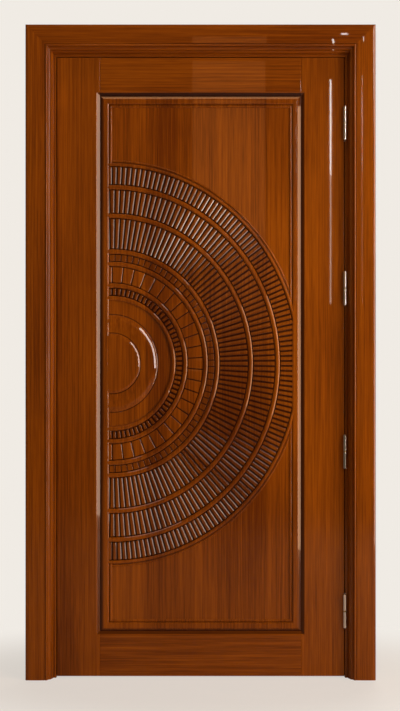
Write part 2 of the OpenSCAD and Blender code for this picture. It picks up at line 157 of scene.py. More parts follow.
class Patchwork:
    """The surface of one piece, gathered from grids and polygons in millimetres."""

    def __init__(self) -> None:
        """Starts with no surface."""
        self._points: list[Array] = []
        self._recess: list[Array] = []
        self._faces: list[list[int]] = []
        self._count = 0

    def _add(self, points: Array, recess: Array | None) -> int:
        """Keeps points for the faces that follow.

        Args:
            points: Points, one per row.
            recess: Stain and painted shade of each point, or none where it has neither.

        Returns:
            Number of the first of these points.
        """
        start = self._count
        self._points.append(points)
        self._recess.append(np.zeros(len(points)) if recess is None else recess)
        self._count += len(points)
        return start

    def grid(
        self,
        points: Array,
        towards: Sequence[float] | None = None,
        closed: bool = False,
        recess: Array | None = None,
        keep: Array | None = None,
    ) -> None:
        """Adds a surface of two parameters.

        Args:
            points: Points by row and column.
            towards: Direction that the surface faces, or none where it faces away from its own middle.
            closed: Whether the last row meets the first.
            recess: Stain and painted shade of each point, from 0 to 1.
            keep: Points whose faces stay, or none for all.
        """
        rows, columns = points.shape[:2]
        flat = points.reshape(-1, 3)
        index = np.arange(rows * columns).reshape(rows, columns)
        if closed:
            index = np.concatenate([index, index[:1]])
        ring = [index[:-1, :-1], index[1:, :-1], index[1:, 1:], index[:-1, 1:]]
        quads = np.stack(ring, axis=-1).reshape(-1, 4)
        if keep is not None:
            quads = quads[keep.reshape(-1)[quads].all(axis=1)]
        corners = flat[quads]
        normals = np.cross(corners[:, 2] - corners[:, 0], corners[:, 3] - corners[:, 1])
        aims = corners.mean(axis=1) - flat.mean(axis=0) if towards is None else np.array(towards)
        if (normals * aims).sum() < 0:
            quads = quads[:, ::-1]
        start = self._add(flat, None if recess is None else recess.reshape(-1))
        self._faces.extend((quads + start).tolist())

    def polygon(self, points: Array, towards: Sequence[float]) -> None:
        """Adds one flat face.

        Args:
            points: Corners in order, one per row.
            towards: Direction that the face looks in.
        """
        normal = sum(np.cross(points[i - 1], points[i]) for i in range(len(points)))
        order = points if normal @ np.array(towards) > 0 else points[::-1]
        start = self._add(order, None)
        self._faces.append(list(range(start, start + len(order))))

    def sweep(self, stations: Sequence[Array]) -> None:
        """Adds a closed section carried through several stations, with both ends capped.

        Args:
            stations: The section's points at each station, all with as many rows.
        """
        points = np.stack(stations, axis=1)
        self.grid(points, closed=True)
        self.polygon(stations[0], stations[0].mean(axis=0) - stations[1].mean(axis=0))
        self.polygon(stations[-1], stations[-1].mean(axis=0) - stations[-2].mean(axis=0))

    def piece(
        self,
        name: str,
        material: bpy.types.Material,
        body: str,
        slot: str,
        nodes: Sequence[str],
        sharp: float = 35.0,
    ) -> bpy.types.Object:
        """Makes the object and puts it in the place of CAD nodes.

        Args:
            name: Name of the object.
            material: Its material.
            body: CAD body that it rides on.
            slot: Material slot of the record; not used.
            nodes: CAD nodes that it stands for.
            sharp: Edges that turn by more than this angle in degrees stay sharp.

        Returns:
            The object.
        """
        points = np.concatenate(self._points) * MM
        recess = np.concatenate(self._recess)
        used = np.unique(np.concatenate([np.array(f) for f in self._faces]))
        renumber = np.full(self._count, -1)
        renumber[used] = np.arange(len(used))
        faces = [renumber[f].tolist() for f in self._faces]
        mesh = bpy.data.meshes.new(name)
        mesh.from_pydata(points[used].tolist(), [], faces)
        # Stain and painted shade of each point, which the material reads as recess.
        stain_and_shade = mesh.attributes.new("recess", "FLOAT", "POINT")
        stain_and_shade.data.foreach_set("value", recess[used].astype(np.float32))
        mesh.polygons.foreach_set("use_smooth", np.ones(len(faces), dtype=bool))
        mesh.set_sharp_from_angle(angle=math.radians(sharp))
        mesh.materials.append(material)
        mesh.update()
        made = bpy.data.objects.new(name, mesh)
        bpy.context.scene.collection.objects.link(made)
        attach(made, body)
        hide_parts(*nodes)
        return made


class Value:
    """A shader socket that can be used in sums."""

    def __init__(self, nodes: "Nodes", socket: bpy.types.NodeSocket) -> None:
        """Wraps a socket.

        Args:
            nodes: Node tree that holds it.
            socket: Output socket of a node.
        """
        self.nodes = nodes
        self.socket = socket

    def _join(self, operation: str, first: "Value | float", second: "Value | float") -> "Value":
        """Adds a maths node, for vectors where one of its two values is a vector.

        Args:
            operation: Blender's name of the operation.
            first: First value.
            second: Second value.

        Returns:
            The result.
        """
        pair = {x.socket.type for x in (first, second) if isinstance(x, Value)}
        kind = "ShaderNodeVectorMath" if {"VECTOR", "RGBA"} & pair else "ShaderNodeMath"
        return self.nodes.node(kind, {0: first, 1: second}, operation=operation)

    def __add__(self, other: "Value | float") -> "Value":
        """This value plus another."""
        return self._join("ADD", self, other)

    def __radd__(self, other: "Value | float") -> "Value":
        """Another value plus this one."""
        return self._join("ADD", other, self)

    def __sub__(self, other: "Value | float") -> "Value":
        """This value less another."""
        return self._join("SUBTRACT", self, other)

    def __rsub__(self, other: "Value | float") -> "Value":
        """Another value less this one."""
        return self._join("SUBTRACT", other, self)

    def __mul__(self, other: "Value | float") -> "Value":
        """This value times another."""
        return self._join("MULTIPLY", self, other)

    def __rmul__(self, other: "Value | float") -> "Value":
        """Another value times this one."""
        return self._join("MULTIPLY", other, self)

    def ramp(self, low: float, high: float, start: float = 0.0, end: float = 1.0) -> "Value":
        """Maps a range smoothly onto another.

        Args:
            low: Value that gives start.
            high: Value that gives end.
            start: Result at low.
            end: Result at high.

        Returns:
            The mapped value.
        """
        limits = {0: self, 1: low, 2: high, 3: start, 4: end}
        return self.nodes.node("ShaderNodeMapRange", limits, interpolation_type="SMOOTHSTEP")


class Nodes:
    """A node tree that grows node by node."""

    def __init__(self, tree: bpy.types.NodeTree) -> None:
        """Wraps a tree.

        Args:
            tree: Tree of a material or of the world.
        """
        self.tree = tree

    def set(self, socket: bpy.types.NodeSocket, value: Value | float | Sequence[float]) -> None:
        """Feeds an input socket.

        Args:
            socket: Input of a node.
            value: A value to link, a number or a colour.
        """
        if isinstance(value, Value):
            self.tree.links.new(value.socket, socket)
            return
        size = len(socket.default_value) if hasattr(socket.default_value, "__len__") else 0
        numbers = list(value) if isinstance(value, Sequence) else [value] * size
        socket.default_value = (numbers + [1.0] * (size - len(numbers))) if size else value

    def node(
        self,
        kind: str,
        inputs: dict[int | str, Value | float | Sequence[float]],
        out: int | str = 0,
        **settings: object,
    ) -> Value:
        """Adds a node.

        Args:
            kind: Blender's name of the node type.
            inputs: What feeds each input, by its place or name.
            out: Output that is returned.
            settings: Settings of the node.

        Returns:
            The chosen output.
        """
        made = self.tree.nodes.new(kind)
        for key, value in settings.items():
            setattr(made, key, value)
        for key, value in inputs.items():
            self.set(made.inputs[key], value)
        return Value(self, made.outputs[out])

    def split(self, vector: Value) -> tuple[Value, ...]:
        """The X, Y and Z of a vector."""
        return tuple(self.node("ShaderNodeSeparateXYZ", {0: vector}, out=axis) for axis in "XYZ")

    def rays(self) -> tuple[Value, Value]:
        """What kind of ray meets the surface.

        Returns:
            1 for a camera ray and 1 for a mirrored or transmitted one, each 0 otherwise.
        """
        kinds = ("Camera", "Glossy", "Transmission")
        camera, glossy, through = (self.node("ShaderNodeLightPath", {}, out=f"Is {k} Ray") for k in kinds)
        return camera, glossy + through


class Shader(Nodes):
    """The nodes of a material with one Principled shader."""

    def __init__(self, name: str, **constants: float | Colour) -> None:
        """Makes an empty material.

        Args:
            name: Name of the material.
            constants: Values of the Principled shader that are the same all over.
        """
        self.material = bpy.data.materials.new(name)
        self.material.use_nodes = True
        super().__init__(self.material.node_tree)
        self.surface = self.tree.nodes["Principled BSDF"]
        self.feed(**constants)

    def noise(self, at: Value, detail: float = 2.0, roughness: float = 0.5) -> Value:
        """Noise at unit scale.

        Args:
            at: Where it is read.
            detail: Number of finer layers.
            roughness: Strength of the finer layers.

        Returns:
            The noise, about 0.5 on average.
        """
        inputs = {"Vector": at, "Scale": 1.0, "Detail": detail, "Roughness": roughness}
        return self.node("ShaderNodeTexNoise", inputs)

    def own(self) -> Value:
        """The piece's own coordinates in metres."""
        return self.node("ShaderNodeTexCoord", {}, out="Object")

    def place(self, scale: Sequence[float], shift: Sequence[float]) -> Value:
        """The piece's own coordinates, scaled and shifted.

        Args:
            scale: Scale along X, Y and Z.
            shift: Shift along X, Y and Z.

        Returns:
            The place as a vector.
        """
        inputs = {0: self.own(), 1: scale, 2: shift}
        return self.node("ShaderNodeVectorMath", inputs, operation="MULTIPLY_ADD")

    def mix(self, share: Value | float, first: Value | Colour, second: Value | Colour) -> Value:
        """Mixes two colours.

        Args:
            share: Share of the second colour.
            first: First colour.
            second: Second colour.

        Returns:
            The mixed colour.
        """
        return self.node("ShaderNodeMix", {0: share, 6: first, 7: second}, out=2, data_type="RGBA")

    def bump(self, height: Value, strength: float, distance: float) -> Value:
        """Fine relief.

        Args:
            height: Height of the relief, from 0 to 1.
            strength: Strength of the relief.
            distance: Height in metres that 1 stands for.

        Returns:
            The bumped normal.
        """
        inputs = {"Height": height, "Strength": strength, "Distance": distance}
        return self.node("ShaderNodeBump", inputs)

    def feed(self, **values: Value | float | Sequence[float]) -> None:
        """Sets or links inputs of the Principled shader.

        Args:
            values: Values by input name, with underscores for spaces.
        """
        for key, value in values.items():
            self.set(self.surface.inputs[key.replace("_", " ")], value)


@dataclass(frozen=True)
class Border:
    """Sunk border round an opening, in whose slope stain and painted shade gather. Sizes are in
    millimetres.

    Attributes:
        front: Y of the face beside it.
        half: Half width of the opening.
        low: Bottom of the opening.
        high: Top of the opening.
        darkened: Depths at which the stain and painted shade start and are full.
        depth: Depths at which the stain and painted shade begin to end and are gone.
        width: Distances from the opening at which the stain and painted shade begin to end and are gone.
    """

    front: float
    half: float
    low: float
    high: float
    darkened: tuple[float, float] = (0.2, 3.0)
    depth: tuple[float, float] = (8.0, 9.0)
    width: tuple[float, float] = (20.0, 24.0)

    def recess(self, shader: Shader) -> Value:
        """Stain and painted shade in the slope.

        Args:
            shader: Shader that uses it.

        Returns:
            The stain and painted shade, from 0 to 1.
        """
        x, y, z = shader.split(shader.own())
        aside = shader.node("ShaderNodeMath", {0: x}, operation="ABSOLUTE") - self.half * MM
        beyond = {0: self.low * MM - z, 1: z - self.high * MM}
        ends = shader.node("ShaderNodeMath", beyond, operation="MAXIMUM")
        away = shader.node("ShaderNodeMath", {0: aside, 1: ends}, operation="MAXIMUM")
        # Stain and painted shade, growing with depth down the slope.
        sunk = y.ramp(*((self.front + depth) * MM for depth in self.darkened))
        above = y.ramp(*((self.front + depth) * MM for depth in self.depth), 1.0, 0.0)
        return sunk * above * away.ramp(*(width * MM for width in self.width), 1.0, 0.0)


@dataclass(frozen=True)
class Layer:
    """One layer of the wood's figure.

    Attributes:
        across: Scale across the fibres.
        along: Scale along the fibres.
        detail: Number of finer layers of noise.
        roughness: Strength of those.
        share: Weight in the wood's tone.
    """

    across: float
    along: float
    detail: float
    roughness: float = 0.5
    share: float = 0.0

    def read(self, shader: Shader, grain: Grain, shift: Point) -> Value:
        """Noise that is drawn out along the fibres.

        Args:
            shader: Shader that uses it.
            grain: Direction of the fibres.
            shift: Place in the noise.

        Returns:
            The noise, about 0.5 on average.
        """
        upright, level = (self.across, self.across, self.along), (self.along, self.across, self.across)
        place = shader.place(upright if grain is Grain.UPRIGHT else level, shift)
        return shader.noise(place, self.detail, self.roughness)


@dataclass(frozen=True)
class Lacquer:
    """Stained wood under clear gloss lacquer.

    Attributes:
        dark: Colour of the dark grain.
        light: Colour of the light grain.
        groove: Colour of the stain and painted shade that gather in the carving and in the border slopes.
        gloss: Roughness of the lacquer.
        coat_ior: Refractive index of the lacquer.
        sheen: Least and greatest roughness of the wood under it.
        figure: Broad figure.
        streak: Streaks.
        fibre: Single fibres.
        cloud: Clouds in the stain.
        peel: Waviness of the lacquer.
        relief: Strength and height in metres of the relief.
        stride: Step in the noise from one seed to the next.
    """

    dark: Colour = linear(86, 37, 2)
    light: Colour = linear(154, 84, 9)
    # Stain and painted shade: this dark colour also stands in for the shade in grooves and slopes.
    groove: Colour = linear(38, 8, 1)
    gloss: float = 0.02
    coat_ior: float = 1.36
    sheen: tuple[float, float] = (0.34, 0.5)
    figure: Layer = Layer(14, 0.5, 3, share=0.5)
    streak: Layer = Layer(190, 2.4, 3, roughness=0.6, share=0.9)
    fibre: Layer = Layer(520, 12, 2, share=0.5)
    cloud: Layer = Layer(2.6, 1.2, 2, share=0.7)
    peel: Layer = Layer(70, 70, 1)
    relief: tuple[float, float] = (0.12, 0.0006)
    stride: Point = (3.1, 1.7, 2.3)

    def material(
        self,
        name: str,
        grain: Grain,
        seed: float,
        border: Border | None = None,
        stain_and_shade: float = 0.85,
        boards: Sequence[tuple[float, float]] = (),
    ) -> bpy.types.Material:
        """Makes the material.

        Args:
            name: Name of the material.
            grain: Direction of the fibres.
            seed: Place in the grain, so that no two boards are alike.
            border: Sunk border of the board, or none where the mesh carries its own stain and painted
                shade.
            stain_and_shade: Share of the groove's colour where the stain and painted shade are full.
            boards: Joints between glued boards, each as its X and the change of tone there.

        Returns:
            The material.
        """
        coat = {"Coat_Weight": 1.0, "Coat_Roughness": self.gloss, "Coat_IOR": self.coat_ior}
        shader = Shader(name, **coat, Specular_IOR_Level=0.0)
        shift = tuple(seed * step for step in self.stride)
        layers = (self.figure, self.streak, self.fibre, self.cloud, self.peel)
        noises = [layer.read(shader, grain, shift) for layer in layers]
        fibre, peel = noises[2], noises[4]
        tone: Value | float = 0.5
        for layer, noise in zip(layers[:4], noises):
            tone = tone + (noise - 0.5) * layer.share
        x = shader.split(shader.own())[0]
        for at, change in boards:
            tone = tone + x.ramp((at - 1) * MM, (at + 1) * MM) * change
        wood = shader.mix(tone.ramp(0.0, 1.0), self.dark, self.light)
        # Stain and painted shade: the recess share darkens the wood towards the groove colour.
        if border is None:
            recess = shader.node("ShaderNodeAttribute", {}, out="Fac", attribute_name="recess")
        else:
            recess = border.recess(shader)
        shader.feed(
            Base_Color=shader.mix(recess.ramp(0.1, 1.0, 0.0, stain_and_shade), wood, self.groove),
            Roughness=fibre.ramp(0.2, 0.8, *self.sheen),
            Normal=shader.bump(fibre * 0.5 + peel * 0.5, *self.relief),
        )
        return shader.material


@dataclass(frozen=True)
class BrightMetal:
    """Drawn and polished metal.

    Attributes:
        colour: Colour of the metal.
        roughness: Mean roughness.
        dull: Brightness of the dullest places as a share.
        polish: Least and greatest roughness as shares of the mean.
        drawn: Scale of the fine marks of drawing.
        film: Scale of the thin film on the metal.
        relief: Strength and height in metres of the relief.
    """

    colour: Colour
    roughness: float
    dull: float = 0.72
    polish: tuple[float, float] = (0.7, 1.4)
    drawn: Point = (900, 900, 40)
    film: Point = (60, 60, 25)
    relief: tuple[float, float] = (0.1, 0.0002)

    def material(self, name: str) -> bpy.types.Material:
        """Makes the material.

        Args:
            name: Name of the material.

        Returns:
            The material.
        """
        shader = Shader(name, Metallic=1.0)
        drawn = shader.noise(shader.place(self.drawn, (0, 0, 0)), detail=2)
        film = shader.noise(shader.place(self.film, (5, 1, 3)), detail=3)
        dull = tuple(c * self.dull for c in self.colour)
        roughness = (self.roughness * share for share in self.polish)
        shader.feed(
            Base_Color=shader.mix((film * 0.7 + drawn * 0.3).ramp(0.3, 0.7), dull, self.colour),
            Roughness=(film * 0.5 + drawn * 0.5).ramp(0.3, 0.7, *roughness),
            Normal=shader.bump(drawn, *self.relief),
        )
        return shader.material


@dataclass(frozen=True)
class DoorSizes:
    """Sizes in millimetres that several pieces share.

    Attributes:
        front_y: Face of the casing.
        leaf_y: Face of the leaf.
        rebate_x: Rebate wall of a post.
        rebate_z: Rebate wall of the head.
        reveal: Distance from the rebate wall to the casing's inner edge.
        open_x: Half width of the panel opening.
        open_z: Bottom and top of the panel opening.
        hinge_zs: Heights of the hinges' middles.
        hinge_length: Length of a hinge.
    """

    front_y: float = -67.5
    leaf_y: float = -27.5
    rebate_x: float = 498.0
    rebate_z: float = 2141.0
    reveal: float = 16.0
    open_x: float = 347.0
    open_z: tuple[float, float] = (160.0, 2008.0)
    hinge_zs: tuple[float, ...] = (231.0, 780.0, 1342.0, 1910.0)
    hinge_length: float = 120.0


@dataclass
class Moulding:
    """A mitred moulding that runs up both sides of the doorway and across its head.

    Attributes:
        sizes: Sizes shared by the pieces.
        inner_x: Inner edge of the section on a side.
        inner_z: Inner edge of the section at the head.
        wood: Finish of the wood.
    """

    sizes: DoorSizes
    inner_x: float
    inner_z: float
    wood: Lacquer

    def section(self) -> Array:
        """Outline of the moulding.

        Returns:
            Points as width from the inner edge and depth from the casing's face.
        """
        raise NotImplementedError

    def upright(self, side: Side, section: Array, z: float | Array) -> Array:
        """Section of a side member at a height.

        Args:
            side: Side of the doorway.
            section: Outline at that height.
            z: Height, the same for all points or one for each.

        Returns:
            Points in the door's frame.
        """
        x = side.value * (self.inner_x + section[:, 0])
        return np.column_stack([x, self.sizes.front_y + section[:, 1], np.broadcast_to(z, len(section))])

    def level(self, side: Side) -> Array:
        """Section of the head member at one of its mitres.

        Args:
            side: Side of the mitre.

        Returns:
            Points in the door's frame.
        """
        section = self.section()
        return self.upright(side, section, self.inner_z + section[:, 0])

    def sweep(self, node: str, grain: Grain, seed: float, stations: Sequence[Array]) -> bpy.types.Object:
        """Makes a member from its sections.

        Args:
            node: CAD node that it stands for.
            grain: Direction of the fibres.
            seed: Place in the grain.
            stations: Sections from end to end.

        Returns:
            The piece.
        """
        work = Patchwork()
        work.sweep(stations)
        material = self.wood.material(node, grain, seed)
        return work.piece(node + "_wood", material, "frame", "frame_wood", [node])

    def build_side(self, node: str, side: Side, seed: float) -> bpy.types.Object:
        """Builds a side member.

        Args:
            node: CAD node that it stands for.
            side: Side of the doorway.
            seed: Place in the grain.

        Returns:
            The piece.
        """
        section = self.section()
        mitre = self.inner_z + section[:, 0]
        stations = [self.upright(side, section, z) for z in (0.0, mitre)]
        return self.sweep(node, Grain.UPRIGHT, seed, stations)

    def build_head(self, node: str, seed: float) -> bpy.types.Object:
        """Builds the head member.

        Args:
            node: CAD node that it stands for.
            seed: Place in the grain.

        Returns:
            The piece.
        """
        return self.sweep(node, Grain.LEVEL, seed, [self.level(Side.CLOSING), self.level(Side.HINGE)])


@dataclass
class Casing(Moulding):
    """The casing with a cove and a nose along its inner edge and a gently rounded face.

    Attributes:
        width: Width of the casing.
        thickness: Thickness of the casing.
        nose: Radius of the nose.
        cove: Radius of the cove.
        lap: Overlap of the nose and the cove, and width of the quirk beside the nose.
        crown: Rise of the face.
        edge: Width of the eased outer edge.
        fall: Points of that edge, as width from the outer side and depth below the face.
        hair: Width of the quirk's slope beside the face.
        steps: Points on the face and on the cove.
        nose_steps: Points on the nose.
    """

    width: float = 85.0
    thickness: float = 20.0
    nose: float = 4.5
    cove: float = 10.0
    lap: float = 0.8
    crown: float = 1.2
    edge: float = 7.0
    fall: Line = (
        (-6.5, 0.1), (-6.1, 0.26), (-3.2, 1.43), (-2.8, 1.59), (-1.6, 2.4), (-0.4, 3.9), (0.0, 5.6),
    )
    hair: float = 0.5
    steps: int = 14
    nose_steps: int = 18

    def section(self) -> Array:
        """Outline of the casing.

        Returns:
            Points as width from the inner edge and depth from the face.
        """
        nose, cove = self.nose, self.cove
        nose_s = cove + nose - self.lap
        start = nose_s + nose + self.lap
        middle = (start + self.width) / 2
        half = self.width - middle
        bow = (half ** 2 + self.crown ** 2) / (2 * self.crown)
        across = np.linspace(start + self.hair, self.width - self.edge, self.steps)
        face = np.column_stack([across, bow - np.sqrt(bow ** 2 - (across - middle) ** 2)])
        meet = math.acos((nose_s ** 2 + cove ** 2 - nose ** 2) / (2 * nose_s * cove))
        turn = math.degrees(math.asin(cove * math.sin(meet) / nose))
        return np.concatenate([
            [[0, self.thickness]],
            arc((0, nose), cove, 90, -math.degrees(meet), self.steps),
            arc((nose_s, nose), nose, 180 + turn, 360, self.nose_steps)[1:],
            [[start - 0.1, nose], [start, nose - 0.3], [start, face[0, 1] + self.hair]],
            face,
            np.array(self.fall) + [self.width, face[-1, 1]],
            [[self.width, self.thickness]],
        ])


@dataclass
class Post(Moulding):
    """A rebated post or head with a fillet, a quirk and a round edge beside the leaf.

    Attributes:
        width: Width beyond the rebate.
        depth: Depth from the casing's face to the back.
        casing: Thickness of the casing in front of it.
        recess: Depth of the leaf's face.
        stop: Width of the stop.
        stop_depth: Depth of the stop's face.
        fillet: Width of the fillet.
        round_edge: Radius of the round edge.
        lip: Width at which the round edge meets the casing's bed.
        quirk: Radius of the quirk.
        arris: Chamfer of the edges.
        gain: Depth of a hinge plate's recess.
        gain_depth: Depth at which that recess ends.
        hair: Slope that is left of the arris in that recess.
        quirk_end: Angle in degrees at which the quirk ends.
        round_start: Angle in degrees at which the round edge starts.
        ease: Rounding of the plain corners.
    """

    width: float = 45.0
    depth: float = 135.0
    casing: float = 20.0
    recess: float = 40.0
    stop: float = 15.0
    stop_depth: float = 81.5
    fillet: float = 9.5
    round_edge: float = 17.0
    lip: float = 15.0
    quirk: float = 2.0
    arris: float = 1.5
    gain: float = 2.5
    gain_depth: float = 70.0
    hair: float = 0.01
    quirk_end: float = -35.0
    round_start: float = 174.0
    ease: float = 0.5

    def section(self, cut: bool = False) -> Array:
        """Outline of the post.

        Args:
            cut: Whether it lies behind a hinge plate.

        Returns:
            Points as width from the rebate and depth from the casing's face.
        """
        wall, slope = (self.gain, self.hair) if cut else (0.0, self.arris)
        edge = [
            [0, self.gain_depth + 2 * self.hair], [wall, self.gain_depth],
            [wall, self.recess + slope], [wall + slope, self.recess],
        ]
        return np.concatenate([edge, self._body()])

    def _body(self) -> Array:
        """Outline from the quirk round the back to the stop.

        Returns:
            Points as width from the rebate and depth from the casing's face.
        """
        middle = self.fillet - 0.75 * self.quirk
        centre = (self.fillet + self.round_edge, self.casing + self.round_edge)
        top = math.degrees(math.acos((centre[0] - self.lip) / self.round_edge))
        shape = eased(np.array([
            [self.lip, self.casing], [self.width, self.casing], [self.width, self.depth],
            [self.arris - self.stop, self.depth], [-self.stop, self.depth - self.arris],
            [-self.stop, self.stop_depth + self.arris], [self.arris - self.stop, self.stop_depth],
        ]), self.ease, closed=False)
        return np.concatenate([
            arc((middle, self.recess), self.quirk, 180, self.quirk_end, 12),
            arc(centre, self.round_edge, self.round_start, 180 + top, 14),
            shape, [[0, self.stop_depth]],
        ])

    def build_hinged(self, node: str, seed: float) -> bpy.types.Object:
        """Builds the hinge post with the recesses for its plates.

        Args:
            node: CAD node that it stands for.
            seed: Place in the grain.

        Returns:
            The piece.
        """
        plain, cut = self.section(), self.section(cut=True)
        places = [(plain, 0.0)]
        for z in self.sizes.hinge_zs:
            low, high = z - self.sizes.hinge_length / 2, z + self.sizes.hinge_length / 2
            places += [(plain, low), (cut, low), (cut, high), (plain, high)]
        places.append((plain, self.inner_z + plain[:, 0]))
        stations = [self.upright(Side.HINGE, section, z) for section, z in places]
        return self.sweep(node, Grain.UPRIGHT, seed, stations)


@dataclass(frozen=True)
class Ring:
    """One ring of the carving, parted by radial grooves with bevelled sides and a narrow slot.

    Attributes:
        width: Width of the ring.
        pieces: Pieces in half a turn.
        groove: Width of a groove at its top.
        top: Height of the pieces above the field.
        floor: Height of the slot's floor.
        slot: Width of the slot.
        slope: Fall of the bevels for each unit of width.
        tone: Height above the pieces' tops below which the darkening starts, which darkens the tops a
            little as well.
        flat: Width of the slot's flat floor as a share.
        blur: Half the width over which corners are rounded.
    """

    width: float
    pieces: int
    groove: float
    top: float = 6.0
    floor: float = 1.0
    slot: float = 1.8
    slope: float = 0.62
    tone: float = 0.9
    flat: float = 0.55
    blur: float = 0.35

    def heights(self, away: Array) -> Array:
        """Height of the ring beside a groove.

        Args:
            away: Distances from the groove's middle.

        Returns:
            Heights above the field, with rounded corners.
        """
        half, shoulder = self.groove / 2, self.slot / 2
        drop = self.slope * (half - shoulder)
        places = [0.0, self.flat * shoulder, shoulder, half]
        levels = [self.floor, self.floor, self.top - drop, self.top]
        shifts = np.linspace(-self.blur, self.blur, SAMPLES)
        return np.mean([np.interp(np.abs(away + s), places, levels) for s in shifts], axis=0)


@dataclass
class CarvedPanel:
    """The panel with its margin, bead, sunk field and carved half sunburst.

    Attributes:
        sizes: Sizes shared by the pieces.
        wood: Finish of the wood.
        splay: Width and depth of the splayed edge.
        splay_flat: Shares of its width between which it is kept flat.
        splay_stain_and_shade: Depth at which its stain and painted shade start, and fall over which they
            become full.
        margin: Inset of the margin's inner edge.
        wall: Inset of the wall's foot.
        sunk: Inset of the sunk field beyond the bead.
        depth: Depth of the field below the margin.
        bevel: Depth of the wall's bevelled upper part.
        foot: Width of the wall's steep lower part.
        bead: Height of the bead.
        thickness: Thickness of the panel.
        tongue: Length and thickness of the tongue.
        slot_y: Middle of the tongue.
        play: Play of the panel in its opening.
        squash: Width of the half rounds as a share of a circle.
        run_on: Length by which the carving runs on under the closing margin.
        clear: Distance from the splay at which carving under the margin is cut off.
        boss: Radii of the boss's two tiers.
        shoulder: Radius of the boss's round shoulders as a multiple of their drop.
        facet: Slope of the facet in the middle of those shoulders.
        facet_span: Start and end of the facet as shares of a shoulder's width.
        crown: Inner end of the boss's flat top, and distance of its outer end from the shoulder.
        upper_quirk: Quirk beside the upper tier, as radius and height from its edge.
        dish: Ends of the dished top of the lower tier, from the upper tier's edge and from the shoulder.
        lower_quirk: Quirk beside the lower tier, as radius and height from its edge.
        cove: Outer end of the cove, as radius and height from the first band and the floor.
        quirk_line: Middle of the stain and painted shade in the quirks, and distances at which they are
            gone and full.
        first_band: Inner radius of the first band.
        band: Width of a band.
        band_slope: Slope of a band's bevels, and what it loses with each millimetre of radius.
        band_bevel: Places across a bevel, the second and third of which keep it flat.
        crest: Height of the bands.
        seat: Height of the bands' feet.
        floor: Height of the cove's floor.
        ease: Rounding of the carved edges.
        stain_and_shade: Fall over which stain and painted shade go from none to full.
        band_dark_depth: Depth below the crest at which a band's stain and painted shade start.
        rim: Width of the rim band and of its outer bead.
        rim_bead: Height of the rim's outer bead.
        rim_fall: Fall of the rim's bevels.
        rim_gap: Gap between the rim band and its outer bead.
        rim_dark_height: Height below which the rim gets stain and painted shade.
        slot_columns: Columns of points beyond a slot's side.
        edge_columns: Columns of points about a groove's edge.
        ends: Rows across the bevelled end of a bar.
        guard: Distance from those rows to the ones that keep a bar's length flat.
        end_bevel: Distances from a bar's end at which its bevel starts and ends.
        gap: Height of the gap between a bar's end and its band.
        boards: Joints of the panel's boards, each as its X and the change of tone there.
        rings: Rings from the boss outwards.
        seed: Place in the grain.
    """

    sizes: DoorSizes
    wood: Lacquer
    splay: tuple[float, float] = (12.5, 7.0)
    splay_flat: tuple[float, float] = (0.14, 0.86)
    splay_stain_and_shade: tuple[float, float] = (0.2, 2.8)
    margin: float = 26.5
    wall: float = 31.0
    sunk: float = 41.5
    depth: float = 8.0
    bevel: float = 2.4
    foot: float = 0.8
    bead: float = 4.0
    thickness: float = 32.0
    tongue: tuple[float, float] = (12.0, 14.0)
    slot_y: float = -7.5
    play: float = 0.2
    squash: float = 0.94
    run_on: float = 15.0
    clear: float = 4.0
    boss: tuple[float, float] = (104.0, 168.0)
    shoulder: float = 4.0
    facet: float = 0.36
    facet_span: tuple[float, float] = (0.3, 0.66)
    crown: tuple[float, float] = (0.1, 3.0)
    upper_quirk: Line = ((0.6, -1.2), (1.6, -1.2), (2.4, 0.0), (3.2, 0.05), (4.0, 0.1), (8.0, 0.3))
    dish: Line = ((16.0, 0.9), (-4.0, -0.1))
    lower_quirk: Line = ((0.6, -0.9), (2.0, -0.9), (3.0, 0.0), (3.6, 0.0), (4.4, 0.0))
    cove: Line = ((-9.0, 0.0), (-8.0, 0.0), (-2.5, 0.6), (1.0, -0.6))
    quirk_line: tuple[float, float, float] = (1.0, 2.4, 0.6)
    first_band: float = 217.0
    band: float = 16.0
    band_slope: tuple[float, float] = (0.605, 0.00012)
    band_bevel: tuple[float, ...] = (0.3, 0.9, 3.9, 4.5)
    crest: float = 7.7
    seat: float = 0.4
    floor: float = 1.0
    ease: float = 0.7
    stain_and_shade: float = 2.2
    band_dark_depth: float = 2.0
    rim: tuple[float, float] = (12.0, 10.0)
    rim_bead: float = 3.0
    rim_fall: float = 1.9
    rim_gap: float = 3.0
    rim_dark_height: float = 1.6
    slot_columns: tuple[float, ...] = (0.2, 0.5, 0.7)
    edge_columns: tuple[float, ...] = (-0.7, -0.1, 0.6)
    ends: tuple[float, ...] = (0.0, 0.7, 1.5, 2.2, 3.1)
    guard: float = 1.2
    end_bevel: tuple[float, float] = (0.9, 2.6)
    gap: float = 0.5
    boards: Line = ((-190.0, -0.17), (-22.0, 0.06), (232.0, 0.11))
    rings: tuple[Ring, ...] = (
        Ring(28, 47, 8.6, 5.6, 0.6, 5.2),
        Ring(58, 25, 6.6, tone=0.3),
        Ring(27, 52, 6.0, 4.6, 1.4, 1.4, 0.45),
        Ring(107, 80, 9.5),
        Ring(83, 96, 9.5),
        Ring(64, 117, 9.5),
    )
    seed: float = 4.3

    def __post_init__(self) -> None:
        """Works out the carving's place and the bands' radii."""
        self.work = Patchwork()
        self.field_y = self.sizes.leaf_y + self.depth
        self.centre_x = self.sunk - self.sizes.open_x
        self.centre_z = sum(self.sizes.open_z) / 2
        starts = [self.first_band]
        for ring in self.rings:
            starts.append(starts[-1] + self.band + ring.width)
        self.bands = starts

